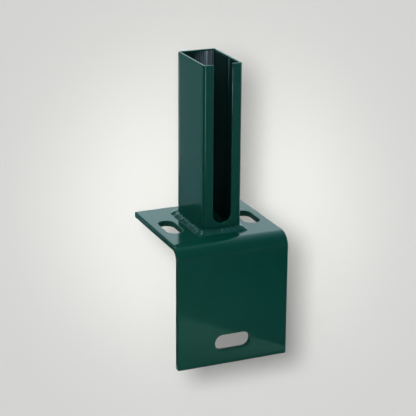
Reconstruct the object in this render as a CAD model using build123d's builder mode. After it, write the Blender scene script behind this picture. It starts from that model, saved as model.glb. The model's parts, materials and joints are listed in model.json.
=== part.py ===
"""Wall-top post bracket: a bent angle plate, a slotted post tube and the weld beads round its foot.

Millimetres, +Z up. The origin is on the underside of the top flange, below the tube's axis: the point where
the post's axis meets the top of the wall. The front flange hangs down on the -Y side.
"""

import os

from build123d import *

os.makedirs("parts", exist_ok=True)

# Angle plate
sheet = 4.4  # thickness, coat included
plate_width = 87.0
top_depth = 88.0  # front face to back edge
front_height = 95.0  # top face to bottom edge
inner_bend_r = 8.6
edge_r = 0.4  # rounding that the coat gives the cut edges

# Bolt slots in the plate
bolt_slot_width = 12.0
bolt_slot_length = 28.0
top_slot_spacing = 62.0
top_slot_shift = -1.3  # from the tube's axis, towards the front
front_slot_drop = 78.0  # below the top face

# Post tube
tube_x = 30.0  # across its narrow faces, front and back
tube_y = 50.0
tube_wall = 2.0
tube_corner_r = 3.0  # outside
tube_height = 125.0  # above the flange
tube_setback = 47.0  # front face of the plate to the tube's axis
rim_r = 0.4  # rounding that the coat gives the rim

# Mouth: the slot down the tube's front face, open at the rim
mouth_width = 14.0
mouth_foot = 6.7  # lowest point above the flange

# Lengthwise seam of the tube, a low ridge inside its right wall
seam_width = 1.6
seam_height = 0.5
seam_shift = -4.0  # from the tube's axis, towards the front

# Weld beads round the foot
weld_out = 5.0  # leg on the plate
weld_up = 3.0  # leg on the tube
weld_bulge = 0.45  # how far the face bellies out, level with the plate
weld_corner_r = 4.0  # corner of the toe on the plate

# Worked out from the sizes above
outer_bend_r = inner_bend_r + sheet
top_z = sheet
bottom_z = top_z - front_height
rim_z = top_z + tube_height
front_y = -tube_setback
back_y = front_y + top_depth
inner_corner_r = tube_corner_r - tube_wall
inner_wall_x = tube_x / 2 - tube_wall

# The sheet's section: a line along its outer faces, thickened inwards and carried across the width
with BuildPart() as angle_plate:
    with BuildSketch(Plane.YZ.offset(-plate_width / 2)):
        with BuildLine() as outer_face:
            FilletPolyline((back_y, top_z), (front_y, top_z), (front_y, bottom_z), radius=outer_bend_r)
            offset(amount=sheet, side=Side.LEFT)
        make_face()
    extrude(amount=plate_width)
    fillet(angle_plate.edges(), edge_r)
    with BuildSketch(Plane.XY.offset(top_z)):
        with Locations((0, top_slot_shift)):
            with GridLocations(top_slot_spacing, 0, 2, 1):
                SlotOverall(bolt_slot_length, bolt_slot_width, rotation=90)
    extrude(amount=-sheet, mode=Mode.SUBTRACT)
    with BuildSketch(Plane.XZ.offset(-front_y)):
        with Locations((0, top_z - front_slot_drop)):
            SlotOverall(bolt_slot_length, bolt_slot_width)
    extrude(amount=-sheet, mode=Mode.SUBTRACT)
angle_plate.part.label = "angle_plate"

# The tube's wall with its seam, then the mouth through the front face
with BuildPart() as post_tube:
    with BuildSketch(Plane.XY.offset(top_z)):
        RectangleRounded(tube_x, tube_y, tube_corner_r)
        RectangleRounded(
            tube_x - 2 * tube_wall, tube_y - 2 * tube_wall, inner_corner_r, mode=Mode.SUBTRACT
        )
        with BuildLine():
            seam_foot = Line(
                (inner_wall_x, seam_shift - seam_width / 2), (inner_wall_x, seam_shift + seam_width / 2)
            )
            SagittaArc(seam_foot @ 0, seam_foot @ 1, seam_height)
        make_face()
    extrude(amount=tube_height)
    with BuildSketch(Plane.XZ.offset(tube_y / 2)):
        with Locations((0, top_z + mouth_foot + mouth_width / 2)):
            Circle(mouth_width / 2)
            Rectangle(mouth_width, tube_height, align=(Align.CENTER, Align.MIN))
    extrude(amount=-tube_wall, mode=Mode.SUBTRACT)
    rim_face = post_tube.faces().sort_by(Axis.Z)[-1]
    fillet(rim_face.outer_wire().edges(), rim_r)
post_tube.part.label = "post_tube"


def weld_bead(name, region):
    """One bead: the ring of weld round the tube's foot, cut to a region of the plan by its corners."""
    with BuildPart() as bead:
        for height, grow, corner_r in [
            (0, weld_out, weld_corner_r),
            (weld_up / 2, weld_out / 2 + weld_bulge, (weld_corner_r + tube_corner_r) / 2),
            (weld_up, 0, tube_corner_r),
        ]:
            with BuildSketch(Plane.XY.offset(top_z + height)):
                RectangleRounded(tube_x + 2 * grow, tube_y + 2 * grow, corner_r)
        loft(ruled=True)
        with BuildSketch(Plane.XY.offset(top_z)):
            RectangleRounded(tube_x, tube_y, tube_corner_r)
        extrude(amount=weld_up, mode=Mode.SUBTRACT)
        with BuildSketch(Plane.XY.offset(top_z)):
            Polygon(*region, align=None)
        extrude(amount=weld_up, mode=Mode.INTERSECT)
    bead.part.label = name
    return bead


# Each bead runs along one face of the tube and meets the next on the line through the tube's corner
root_x = tube_x / 2 - tube_corner_r
root_y = tube_y / 2 - tube_corner_r
reach = tube_corner_r + 2 * weld_out
inner_corners = [(-root_x, -root_y), (root_x, -root_y), (root_x, root_y), (-root_x, root_y)]
outer_corners = [
    (x + reach * (1 if x > 0 else -1), y + reach * (1 if y > 0 else -1)) for x, y in inner_corners
]
weld_names = ["weld_front", "weld_right", "weld_back", "weld_left"]
weld_beads = [
    weld_bead(name, [inner_corners[i], outer_corners[i], outer_corners[(i + 1) % 4], inner_corners[(i + 1) % 4]])
    for i, name in enumerate(weld_names)
]

for piece in [angle_plate, post_tube, *weld_beads]:
    export_step(piece.part, f"parts/{piece.part.label}.step")
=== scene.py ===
"""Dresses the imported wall-top post bracket: a bent, slotted plate with a slotted tube welded upright on it.

Shapes are worked out in millimetres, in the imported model's frame, and go into the meshes in metres. The
plate and the tube are worked out flat, as a blank that lies in a plane, with a third coordinate for the
depth below the outer face. A folding function then carries every point to where the bent metal has it.
"""
from __future__ import annotations

import json
import logging
import math
from dataclasses import dataclass, field
from enum import Enum
from typing import Any

import bpy
import numpy as np
from mathutils import Matrix, Vector


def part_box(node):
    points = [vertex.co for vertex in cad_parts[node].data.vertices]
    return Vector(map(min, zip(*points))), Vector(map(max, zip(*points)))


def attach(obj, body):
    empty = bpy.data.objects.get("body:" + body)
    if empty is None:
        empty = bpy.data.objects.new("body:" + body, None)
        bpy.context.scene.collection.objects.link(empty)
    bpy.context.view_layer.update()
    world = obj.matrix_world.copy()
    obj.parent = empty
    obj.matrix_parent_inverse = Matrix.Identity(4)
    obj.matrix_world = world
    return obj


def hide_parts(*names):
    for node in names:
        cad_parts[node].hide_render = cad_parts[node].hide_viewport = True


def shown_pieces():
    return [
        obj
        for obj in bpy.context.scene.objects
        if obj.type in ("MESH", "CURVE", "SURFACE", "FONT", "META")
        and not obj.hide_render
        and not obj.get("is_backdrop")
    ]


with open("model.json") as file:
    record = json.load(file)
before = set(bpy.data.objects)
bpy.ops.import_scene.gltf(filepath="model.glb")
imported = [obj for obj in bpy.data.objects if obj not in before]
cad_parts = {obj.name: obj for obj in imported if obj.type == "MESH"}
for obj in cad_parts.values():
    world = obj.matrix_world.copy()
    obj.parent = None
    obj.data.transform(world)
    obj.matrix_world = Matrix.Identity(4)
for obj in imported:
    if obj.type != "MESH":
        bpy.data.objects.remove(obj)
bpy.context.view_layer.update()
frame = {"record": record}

MM = 0.001  # metres in a millimetre
MM_PER_M = 1000
JOINS_PER_MM = 2000.0  # points that round to the same part of a millimetre become one
PHOTO_WIDTH_PX = 416

log = logging.getLogger("post_bracket")

Grid = np.ndarray


class Mark(Enum):
    """What a mesh can tell its finish about each point, by the name of the attribute that holds it."""

    NONE = ""
    CUT_WALL = "cut_wall"
    # How thin the tube's coat is, up to 1 for bare zinc. The same mark also carries painted shade inside the
    # tube, and a painted seam sheen and lip highlight drawn as bare zinc.
    BARE_AND_PAINTED_LIGHT = "bare"


def linear_colour(hex_code: str) -> tuple[float, float, float, float]:
    """Turns an sRGB hex value to a linear colour.

    Args:
        hex_code: Six hex digits after a hash sign.

    Returns:
        Linear red, green and blue, and an alpha of 1.
    """
    channels = [int(hex_code[i : i + 2], 16) / 255 for i in (1, 3, 5)]
    linear = [c / 12.92 if c <= 0.04045 else ((c + 0.055) / 1.055) ** 2.4 for c in channels]
    return (linear[0], linear[1], linear[2], 1.0)


def add_node(
    tree: bpy.types.NodeTree, kind: str, inputs: dict[Any, Any] | None = None, **settings: Any
) -> Any:
    """Adds a node to a tree, with its settings, values and links.

    Args:
        tree: The node tree.
        kind: The node's type name.
        inputs: What each input socket gets, by name or number: a value, or another node's output socket.
        **settings: Attributes of the node itself.

    Returns:
        The new node.
    """
    made = tree.nodes.new(kind)
    for name, value in settings.items():
        setattr(made, name, value)
    for name, value in (inputs or {}).items():
        if isinstance(value, bpy.types.NodeSocket):
            tree.links.new(value, made.inputs[name])
        else:
            made.inputs[name].default_value = value
    return made


def new_material(name: str) -> tuple[bpy.types.Material, bpy.types.NodeTree]:
    """Makes an empty node material.

    Args:
        name: The material's name.

    Returns:
        The material and its node tree.
    """
    made = bpy.data.materials.new(name)
    made.use_nodes = True
    made.node_tree.nodes.clear()
    return made, made.node_tree


def new_object(name: str, data: Any) -> bpy.types.Object:
    """Makes an object of a mesh, a lamp or a camera, and links it to the scene.

    Args:
        name: The object's name.
        data: What it shows.

    Returns:
        The object, at the origin.
    """
    made = bpy.data.objects.new(name, data)
    bpy.context.scene.collection.objects.link(made)
    return made


def smooth_step(x: np.ndarray) -> np.ndarray:
    """Three x squared less two x cubed, with x held between 0 and 1."""
    held = np.clip(x, 0.0, 1.0)
    return held * held * (3.0 - 2.0 * held)


@dataclass
class Skin:
    """A closed surface, gathered from grids of points whose borders meet point on point."""

    grids: list[Grid] = field(default_factory=list)
    loads: list[np.ndarray] = field(default_factory=list)

    def add(self, points: Grid, turned: bool = False, load: np.ndarray | None = None) -> None:
        """Adds one grid of points.

        Args:
            points: Rows by columns by three, in millimetres.
            turned: True where the faces have to look the other way.
            load: One number for each point, kept as the mesh's attribute, or None for noughts.
        """
        numbers = np.zeros(points.shape[:2]) if load is None else np.broadcast_to(load, points.shape[:2])
        if turned:
            points = points[:, ::-1]
            numbers = numbers[:, ::-1]
        self.grids.append(points)
        self.loads.append(numbers)

    def build(self, name: str, mark: Mark = Mark.NONE) -> bpy.types.Object:
        """Joins the grids where their points agree to half a micrometre, and makes the mesh.

        Each grid cell gives one four-sided face. A corner that two sides share drops out of its face,
        so that a cell with one collapsed side becomes a triangle, and a cell with no area is left out.

        Args:
            name: The piece's name.
            mark: What the points' numbers are kept as.

        Returns:
            The piece, smooth shaded, at the origin.
        """
        starts = np.cumsum([0] + [g.shape[0] * g.shape[1] for g in self.grids])
        points = np.concatenate([g.reshape(-1, 3) for g in self.grids])
        numbers = np.concatenate([n.reshape(-1) for n in self.loads])
        quads = []
        for start, grid in zip(starts, self.grids):
            ids = start + np.arange(grid.shape[0] * grid.shape[1]).reshape(grid.shape[:2])
            cell_corners = [ids[:-1, :-1], ids[:-1, 1:], ids[1:, 1:], ids[1:, :-1]]
            quads.append(np.stack(cell_corners, -1).reshape(-1, 4))
        keys = np.round(points * JOINS_PER_MM).astype(np.int64)
        _, first, where = np.unique(keys, axis=0, return_index=True, return_inverse=True)
        faces = where.reshape(-1)[np.concatenate(quads)]
        distinct = faces != np.roll(faces, 1, axis=1)
        count = distinct.sum(1)
        opposite = (faces[:, 0] == faces[:, 2]) | (faces[:, 1] == faces[:, 3])
        whole = faces[(count == 4) & ~opposite]
        three = faces[count == 3][distinct[count == 3]].reshape(-1, 3)
        corners = np.concatenate([whole.reshape(-1), three.reshape(-1)]).astype(np.int32)
        totals = np.concatenate([np.full(len(whole), 4), np.full(len(three), 3)]).astype(np.int32)
        mesh = bpy.data.meshes.new(name)
        mesh.vertices.add(len(first))
        mesh.vertices.foreach_set("co", (points[first] * MM).astype(np.float32).reshape(-1))
        mesh.loops.add(len(corners))
        mesh.loops.foreach_set("vertex_index", corners)
        mesh.polygons.add(len(totals))
        mesh.polygons.foreach_set("loop_start", (np.cumsum(totals) - totals).astype(np.int32))
        mesh.polygons.foreach_set("loop_total", totals)
        mesh.polygons.foreach_set("use_smooth", np.ones(len(totals), bool))
        if mark is not Mark.NONE:
            kept = mesh.attributes.new(mark.value, "FLOAT", "POINT")
            kept.data.foreach_set("value", numbers[first].astype(np.float32))
        mesh.update(calc_edges=True)
        mesh.validate()
        return new_object(name, mesh)


def edge_profile(
    inset: float, thickness: float, outer_r: float, inner_r: float, steps: int = 6
) -> np.ndarray:
    """The way round a sheet's edge, from its outer face to its inner face.

    It starts flat on the outer face, turns over a quarter circle, runs down the edge, and turns over a
    second quarter circle onto the inner face.

    Args:
        inset: How far from the edge it starts and ends.
        thickness: The sheet's thickness.
        outer_r: The radius at the outer face.
        inner_r: The radius at the inner face.
        steps: Segments in each quarter circle.

    Returns:
        Pairs of the distance from the edge and the depth below the outer face.
    """
    a = np.linspace(0.0, math.pi / 2, steps + 1)
    outer = np.stack([outer_r * (1 - np.sin(a)), outer_r * (1 - np.cos(a))], -1)
    inner = np.stack([inner_r * (1 - np.cos(a)), thickness - inner_r * (1 - np.sin(a))], -1)
    lead_in = [[inset, 0.0], [(inset + 2 * outer_r) / 3, 0.0]]
    lead_out = [[(inset + 2 * inner_r) / 3, thickness], [inset, thickness]]
    return np.concatenate([lead_in, outer, inner, lead_out])


def grid_lines(stops: list[float], pitch: float) -> np.ndarray:
    """Lines that pass through every stop, with equal gaps of about one pitch between two stops."""
    runs = [np.linspace(a, b, max(1, round((b - a) / pitch)) + 1)[:-1] for a, b in zip(stops, stops[1:])]
    return np.concatenate(runs + [[stops[-1]]])


def index_of(lines: np.ndarray, value: float) -> int:
    """The number of the line that lies at a value."""
    return int(np.argmin(np.abs(lines - value)))


@dataclass(frozen=True)
class Slot:
    """A round-ended slot in a flat blank, with the rectangle of the blank that it is worked out in."""

    centre: tuple[float, float]
    core: tuple[float, float]
    radius: float
    block: tuple[float, float, float, float]

    def outline(self, seen_from: np.ndarray, distance: float) -> np.ndarray:
        """Points a set distance outside the slot's edge, each on a line from its core to a given point.

        The core is the straight line between the centres of the two round ends. A given point's nearest
        point on the core is where its line starts.

        Args:
            seen_from: Points outside the slot.
            distance: How far outside the edge.

        Returns:
            As many points as were given.
        """
        off = seen_from - np.array(self.centre)
        half = np.array(self.core)
        near = np.clip(off, -half, half)
        away = off - near
        away = away / np.linalg.norm(away, axis=-1, keepdims=True)
        return np.array(self.centre) + near + away * (self.radius + distance)

    def border(self, xs: np.ndarray, ys: np.ndarray) -> np.ndarray:
        """The grid's points round the slot's rectangle, anticlockwise, with the first one again at the end.

        Args:
            xs: The grid lines across.
            ys: The grid lines along.

        Returns:
            The points.
        """
        x0, x1, y0, y1 = self.block
        along = xs[index_of(xs, x0) : index_of(xs, x1) + 1]
        up = ys[index_of(ys, y0) : index_of(ys, y1) + 1]
        sides = [
            np.stack([along, np.full(len(along), y0)], -1)[:-1],
            np.stack([np.full(len(up), x1), up], -1)[:-1],
            np.stack([along[::-1], np.full(len(along), y1)], -1)[:-1],
            np.stack([np.full(len(up), x0), up[::-1]], -1),
        ]
        return np.concatenate(sides)


def orange_peel(tree: bpy.types.NodeTree, coords: Any, depth_mm: float) -> Any:
    """The slight waviness of powder that has melted and flowed, as a bump.

    Two sizes of soft noise are added: waves about 2.4 mm apart, as peel has, and longer ones about 11
    mm apart, three times as deep, which bend the long reflections a little.

    Args:
        tree: The material's node tree.
        coords: The output socket with places in metres.
        depth_mm: How deep the short waves are.

    Returns:
        The bump's output socket.
    """
    short_mm, long_mm, long_depth = 2.4, 11.0, 3.0
    short, long = (
        add_node(tree, "ShaderNodeTexNoise", {"Vector": coords, "Scale": MM_PER_M / gap, "Detail": detail})
        for gap, detail in ((short_mm, 1.0), (long_mm, 0.0))
    )
    both = add_node(
        tree,
        "ShaderNodeMath",
        {0: long.outputs["Fac"], 1: long_depth, 2: short.outputs["Fac"]},
        operation="MULTIPLY_ADD",
    )
    bump = add_node(
        tree, "ShaderNodeBump", {"Height": both.outputs[0], "Strength": 1.0, "Distance": depth_mm * MM}
    )
    return bump.outputs["Normal"]


@dataclass(frozen=True)
class MossPowderCoat:
    """Moss-green polyester powder coat, sprayed on degreased steel and baked.

    It flows out to a hard gloss with a faint orange peel. The eye gets a deep, even green, a sharp
    mirror of bright things at a grazing look, and almost none seen square on. On a rough cut edge the
    coat pulls thin and stays dull.
    """

    name: str = "moss_green_powder_coat"
    colour: str = "#075346"
    deep_colour: str = "#064B3F"
    drift_mm: float = 30.0
    roughness: float = 0.13
    ior: float = 1.46
    peel_depth_mm: float = 0.004
    cut_roughness: float = 0.85

    def drifting_colour(self, tree: bpy.types.NodeTree, coords: Any) -> Any:
        """The coat's green, which deepens a little here and there, where the coat is thicker.

        Args:
            tree: The material's node tree.
            coords: The output socket with places in metres.

        Returns:
            The colour's output socket.
        """
        drift = add_node(
            tree, "ShaderNodeTexNoise", {"Vector": coords, "Scale": MM_PER_M / self.drift_mm, "Detail": 2.0}
        )
        greens = {"A": linear_colour(self.deep_colour), "B": linear_colour(self.colour)}
        mixed = add_node(
            tree, "ShaderNodeMix", {"Factor": drift.outputs["Fac"], **greens}, data_type="RGBA"
        )
        return mixed.outputs["Result"]

    def material(self) -> bpy.types.Material:
        """Builds the coat's material. The mesh marks the cut walls with 1.

        Returns:
            The material.
        """
        made, tree = new_material(self.name)
        coords = add_node(tree, "ShaderNodeTexCoord").outputs["Object"]
        cut = add_node(tree, "ShaderNodeAttribute", attribute_name=Mark.CUT_WALL.value).outputs["Fac"]
        roughness = add_node(
            tree, "ShaderNodeMix", {"Factor": cut, "A": self.roughness, "B": self.cut_roughness}
        )
        coat = add_node(
            tree,
            "ShaderNodeBsdfPrincipled",
            {
                "Base Color": self.drifting_colour(tree, coords),
                "Roughness": roughness.outputs["Result"],
                "IOR": self.ior,
                "Normal": orange_peel(tree, coords, self.peel_depth_mm),
            },
        )
        add_node(tree, "ShaderNodeOutputMaterial", {"Surface": coat.outputs[0]})
        return made


@dataclass(frozen=True)
class CoatOverZinc:
    """The same coat on a galvanised tube, where it thins out inside and leaves the zinc bare.

    Sprayed powder does not reach far into a narrow tube. The eye gets green on the outside and on the
    first few millimetres inside, and behind that a dull silver with drawn streaks along the tube. The thin
    coat's darker green inside is also painted shade in the tube's hollow.
    """

    coat: MossPowderCoat
    name: str = "powder_coat_over_galvanised_steel"
    # Darker green for the thin coat inside, which paints shade into the tube's hollow.
    thin_coat_shade: str = "#00332D"
    # Paler and bluer than bare zinc, so that this colour also holds a painted sheen. The streaks between the
    # two greys are the zinc's own.
    zinc: str = "#D2EAFA"
    zinc_dark: str = "#5C7080"
    zinc_roughness: float = 0.5
    thin_roughness: float = 0.45
    streak_mm: float = 1.6
    streak_stretch: float = 45.0
    streak_shift: tuple[float, float, float] = (-1.5, 0.0, 0.0)
    streak_band: tuple[float, float] = (0.4, 0.62)
    ragged_scale: float = 2.3
    ragged_share: float = 0.5
    bare_band: tuple[float, float] = (0.72, 0.95)

    def material(self) -> bpy.types.Material:
        """Builds the material. The mesh marks how thin the coat is, up to 1 where the zinc is bare. The
        mark also carries painted shade inside the tube, and a painted seam sheen and lip highlight.

        One noise, drawn out along the tube, gives the zinc its streaks. A finer one is added to the
        mark, so that the coat's end is ragged.

        Returns:
            The material.
        """
        made, tree = new_material(self.name)
        coords = add_node(tree, "ShaderNodeTexCoord").outputs["Object"]
        across = MM_PER_M / self.streak_mm
        scale = (across, across, across / self.streak_stretch)
        drawn = add_node(
            tree, "ShaderNodeMapping", {"Vector": coords, "Location": self.streak_shift, "Scale": scale}
        ).outputs["Vector"]
        streaks = add_node(tree, "ShaderNodeTexNoise", {"Vector": drawn, "Scale": 1.0, "Detail": 2.5})
        low, high = self.streak_band
        bright = add_node(
            tree, "ShaderNodeMapRange", {"Value": streaks.outputs["Fac"], "From Min": low, "From Max": high}
        )
        greys = {"A": linear_colour(self.zinc_dark), "B": linear_colour(self.zinc)}
        zinc = add_node(
            tree, "ShaderNodeMix", {"Factor": bright.outputs["Result"], **greys}, data_type="RGBA"
        )
        # The tube's mark: thin coat and bare zinc, with the painted shade, painted seam sheen and painted lip
        # highlight that ride on it.
        bare = add_node(tree, "ShaderNodeAttribute", attribute_name=Mark.BARE_AND_PAINTED_LIGHT.value).outputs["Fac"]
        thin = add_node(
            tree, "ShaderNodeMapRange", {"Value": bare, "From Max": PostTube.inner_thinness_and_shade}
        ).outputs["Result"]
        green = self.coat.drifting_colour(tree, coords)
        coated = add_node(
            tree,
            "ShaderNodeMix",
            {"Factor": thin, "A": green, "B": linear_colour(self.thin_coat_shade)},
            data_type="RGBA",
        )
        ragged = add_node(
            tree, "ShaderNodeTexNoise", {"Vector": drawn, "Scale": self.ragged_scale, "Detail": 3.0}
        )
        edge = add_node(
            tree,
            "ShaderNodeMath",
            {0: ragged.outputs["Fac"], 1: self.ragged_share, 2: bare},
            operation="MULTIPLY_ADD",
        )
        low, high = self.bare_band
        share = add_node(
            tree, "ShaderNodeMapRange", {"Value": edge.outputs[0], "From Min": low, "From Max": high}
        ).outputs["Result"]
        colour = add_node(
            tree,
            "ShaderNodeMix",
            {"Factor": share, "A": coated.outputs["Result"], "B": zinc.outputs["Result"]},
            data_type="RGBA",
        )
        coat_roughness = add_node(
            tree, "ShaderNodeMix", {"Factor": thin, "A": self.coat.roughness, "B": self.thin_roughness}
        )
        roughness = add_node(
            tree,
            "ShaderNodeMix",
            {"Factor": share, "A": coat_roughness.outputs["Result"], "B": self.zinc_roughness},
        )
        surface = add_node(
            tree,
            "ShaderNodeBsdfPrincipled",
            {
                "Base Color": colour.outputs["Result"],
                "Roughness": roughness.outputs["Result"],
                "IOR": self.coat.ior,
                "Normal": orange_peel(tree, coords, self.coat.peel_depth_mm),
            },
        )
        add_node(tree, "ShaderNodeOutputMaterial", {"Surface": surface.outputs[0]})
        return made


@dataclass
class AnglePlate:
    """The sheet, bent to a right angle, with its bolt slots and the soft edges that the coat gives it.

    The flat blank has x along the bend and s from the top flange's free edge to the front flange's
    lower edge.
    """

    width: float
    front_y: float
    back_y: float
    bottom_z: float
    sheet: float
    slots: list[Slot]
    bend_r: float = 10.5
    corner_r: float = 1.3
    top_edge_r: float = 0.9
    under_edge_r: float = 0.6
    slot_edge_r: float = 0.7
    inset: float = 2.1
    slot_inset: float = 1.9
    slot_margin: float = 3.9
    shadow_box_trim: tuple[float, float] = (5.0, 2.0)
    pitch: float = 2.0
    bend_lines: int = 33
    corner_points: int = 7
    ring_lines: int = 5

    @classmethod
    def from_frame(cls) -> "AnglePlate":
        """Takes the plate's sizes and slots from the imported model.

        Returns:
            The plate, ready to build.
        """
        low, high = (np.array(c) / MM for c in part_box("angle_plate"))
        mounts = {m["name"]: m for m in frame["record"]["mounts"]}
        slot_half = mounts["top_slot_left"]["dims"]["slot_length_mm"] / 2
        slot_r = mounts["top_slot_left"]["dims"]["hole_r_mm"]
        plate = cls(high[0] - low[0], low[1], high[1], low[2], high[2], [])
        core = slot_half - slot_r
        for name in ("top_slot_left", "top_slot_right"):
            x, y, _ = np.array(mounts[name]["pos_m"]) / MM
            plate.add_slot((x, plate.back_y - y), (0.0, core), slot_r)
        x, _, z = np.array(mounts["front_slot"]["pos_m"]) / MM
        plate.add_slot((x, plate.length - (z - plate.bottom_z)), (core, 0.0), slot_r)
        return plate

    def add_slot(self, centre: tuple[float, float], core: tuple[float, float], radius: float) -> None:
        """Adds a slot, with the rectangle that stands a margin off it.

        Args:
            centre: Its middle on the blank.
            core: Half the line between the centres of its round ends, across and along.
            radius: Its half width.
        """
        (x, s), (half_x, half_s) = centre, core
        off = radius + self.slot_margin
        block = (x - half_x - off, x + half_x + off, s - half_s - off, s + half_s + off)
        self.slots.append(Slot(centre, core, radius, block))

    @property
    def top_run(self) -> float:
        """The flat length of the top flange."""
        return self.back_y - self.front_y - self.bend_r

    @property
    def arc(self) -> float:
        """The length of the bend, along its outer face."""
        return self.bend_r * math.pi / 2

    @property
    def length(self) -> float:
        """The length of the whole blank."""
        return self.top_run + self.arc + (self.sheet - self.bottom_z - self.bend_r)

    def boxes(self) -> list[tuple[np.ndarray, np.ndarray]]:
        """Plain boxes for the two flanges, which stop a little short of the round bend.

        Returns:
            The lowest and the highest corner of each.
        """
        half = self.width / 2
        back, down = self.shadow_box_trim
        inner_y = self.front_y + self.sheet
        return [
            (np.array([-half, self.front_y + back, 0.0]), np.array([half, self.back_y, self.sheet])),
            (np.array([-half, self.front_y, self.bottom_z]), np.array([half, inner_y, self.sheet - down])),
        ]

    def fold(self, x: np.ndarray, s: np.ndarray, depth: np.ndarray) -> np.ndarray:
        """Carries points of the flat blank to the bent plate.

        On the top flange s runs forwards and depth runs down. Over the bend s is an angle about the
        bend's centre and depth shortens the radius. On the front flange s runs down and depth runs
        back.

        Args:
            x: Places along the bend.
            s: Places along the blank.
            depth: Depths below the outer face.

        Returns:
            The points, with one more axis of three.
        """
        x, s, depth = np.broadcast_arrays(x, s, depth)
        turn = np.clip((s - self.top_run) / self.bend_r, 0.0, math.pi / 2)
        before = np.minimum(s, self.top_run)
        after = np.maximum(s - self.top_run - self.arc, 0.0)
        y = self.back_y - before - (self.bend_r - depth) * np.sin(turn)
        z = self.sheet - self.bend_r + (self.bend_r - depth) * np.cos(turn) - after
        return np.stack([x, y, z], -1)

    def rim_loop(self, xs: np.ndarray, ss: np.ndarray, distance: float) -> np.ndarray:
        """The blank's outline, drawn in by a distance, with round corners.

        Along each side the points keep to the grid lines. At a corner they fan out over the corner's
        arc, whose radius is the corner radius less the distance, or meet in one point where nothing is
        left of it.

        Args:
            xs: The grid lines across.
            ss: The grid lines along.
            distance: How far inside the outline.

        Returns:
            A closed loop of points, anticlockwise, with the first one again at the end.
        """
        half, end = self.width / 2, self.length
        left = max(self.corner_r - distance, 0.0)
        centre = max(self.corner_r, distance)
        fan = np.linspace(0.0, math.pi / 2, self.corner_points)
        turned = np.stack([np.sin(fan), -np.cos(fan)], -1)
        far_x, far_s = half - centre, end - centre
        corner_at = [(far_x, centre), (far_x, far_s), (-far_x, far_s), (-far_x, centre)]
        sides = [
            np.stack([xs, np.full(len(xs), distance)], -1),
            np.stack([np.full(len(ss), half - distance), ss], -1),
            np.stack([xs[::-1], np.full(len(xs), end - distance)], -1),
            np.stack([np.full(len(ss), distance - half), ss[::-1]], -1),
        ]
        parts = []
        for side, centre_xy in zip(sides, corner_at):
            parts += [side, np.array(centre_xy) + left * turned]
            turned = np.stack([-turned[:, 1], turned[:, 0]], -1)
        parts.append(sides[0][:1])
        return np.concatenate(parts)

    def build(self, finish: bpy.types.Material) -> bpy.types.Object:
        """Builds the plate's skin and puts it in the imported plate's place.

        Args:
            finish: The coat.

        Returns:
            The piece.
        """
        half = self.width / 2 - self.inset
        bend_at = (self.top_run, self.top_run + self.arc)
        x_stops = sorted({-half, half, *(v for slot in self.slots for v in slot.block[:2])})
        s_stops = {self.inset, self.length - self.inset, *bend_at}
        s_stops = sorted(s_stops.union(v for slot in self.slots for v in slot.block[2:]))
        xs, ss = grid_lines(x_stops, self.pitch), grid_lines(s_stops, self.pitch)
        bend = np.linspace(*bend_at, self.bend_lines)
        ss = np.unique(np.round(np.concatenate([ss[ss <= self.top_run], bend, ss[ss >= bend[-1]]]), 6))
        skin = Skin()
        holes = np.zeros((len(ss) - 1, len(xs) - 1), bool)
        for slot in self.slots:
            x0, x1, s0, s1 = slot.block
            holes[index_of(ss, s0) : index_of(ss, s1), index_of(xs, x0) : index_of(xs, x1)] = True
        for depth, under in ((0.0, False), (self.sheet, True)):
            sheet = self.fold(xs[None, :], ss[:, None], np.array(depth))
            for row in range(len(ss) - 1):
                open_at = np.flatnonzero(~holes[row])
                for run in np.split(open_at, np.flatnonzero(np.diff(open_at) > 1) + 1):
                    skin.add(sheet[row : row + 2, run[0] : run[-1] + 2], turned=not under)
        rim = edge_profile(self.inset, self.sheet, self.top_edge_r, self.under_edge_r)
        loops = np.stack([self.rim_loop(xs, ss, d) for d, _ in rim])
        skin.add(self.fold(loops[..., 0], loops[..., 1], rim[:, 1][:, None]), turned=False)
        for slot in self.slots:
            self.line_slot(skin, slot, xs, ss)
        piece = skin.build("angle_plate_coated", Mark.CUT_WALL)
        piece.data.materials.append(finish)
        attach(piece, "root")
        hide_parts("angle_plate")
        return piece

    def line_slot(self, skin: Skin, slot: Slot, xs: np.ndarray, ss: np.ndarray) -> None:
        """Adds the flat ring round a slot on both faces, and the slot's wall with its softened edges.

        A ring's points lie on straight lines between the slot's outline and its rectangle's border. The
        wall is the edge profile carried round the outline, and is marked 1 between its two roundings.

        Args:
            skin: Where the grids go.
            slot: The slot.
            xs: The grid lines across.
            ss: The grid lines along.
        """
        border = slot.border(xs, ss)
        lip = slot.outline(border, self.slot_inset)
        share = np.linspace(0.0, 1.0, self.ring_lines)[:, None, None]
        ring = lip * (1 - share) + border * share
        for depth, under in ((0.0, False), (self.sheet, True)):
            skin.add(self.fold(ring[..., 0], ring[..., 1], np.array(depth)), turned=under)
        wall = edge_profile(self.slot_inset, self.sheet, self.slot_edge_r, self.slot_edge_r)
        loops = np.stack([slot.outline(border, d) for d, _ in wall])
        cut = smooth_step(1 - wall[:, :1] / self.slot_edge_r)
        skin.add(self.fold(loops[..., 0], loops[..., 1], wall[:, 1][:, None]), turned=True, load=cut)


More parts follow.
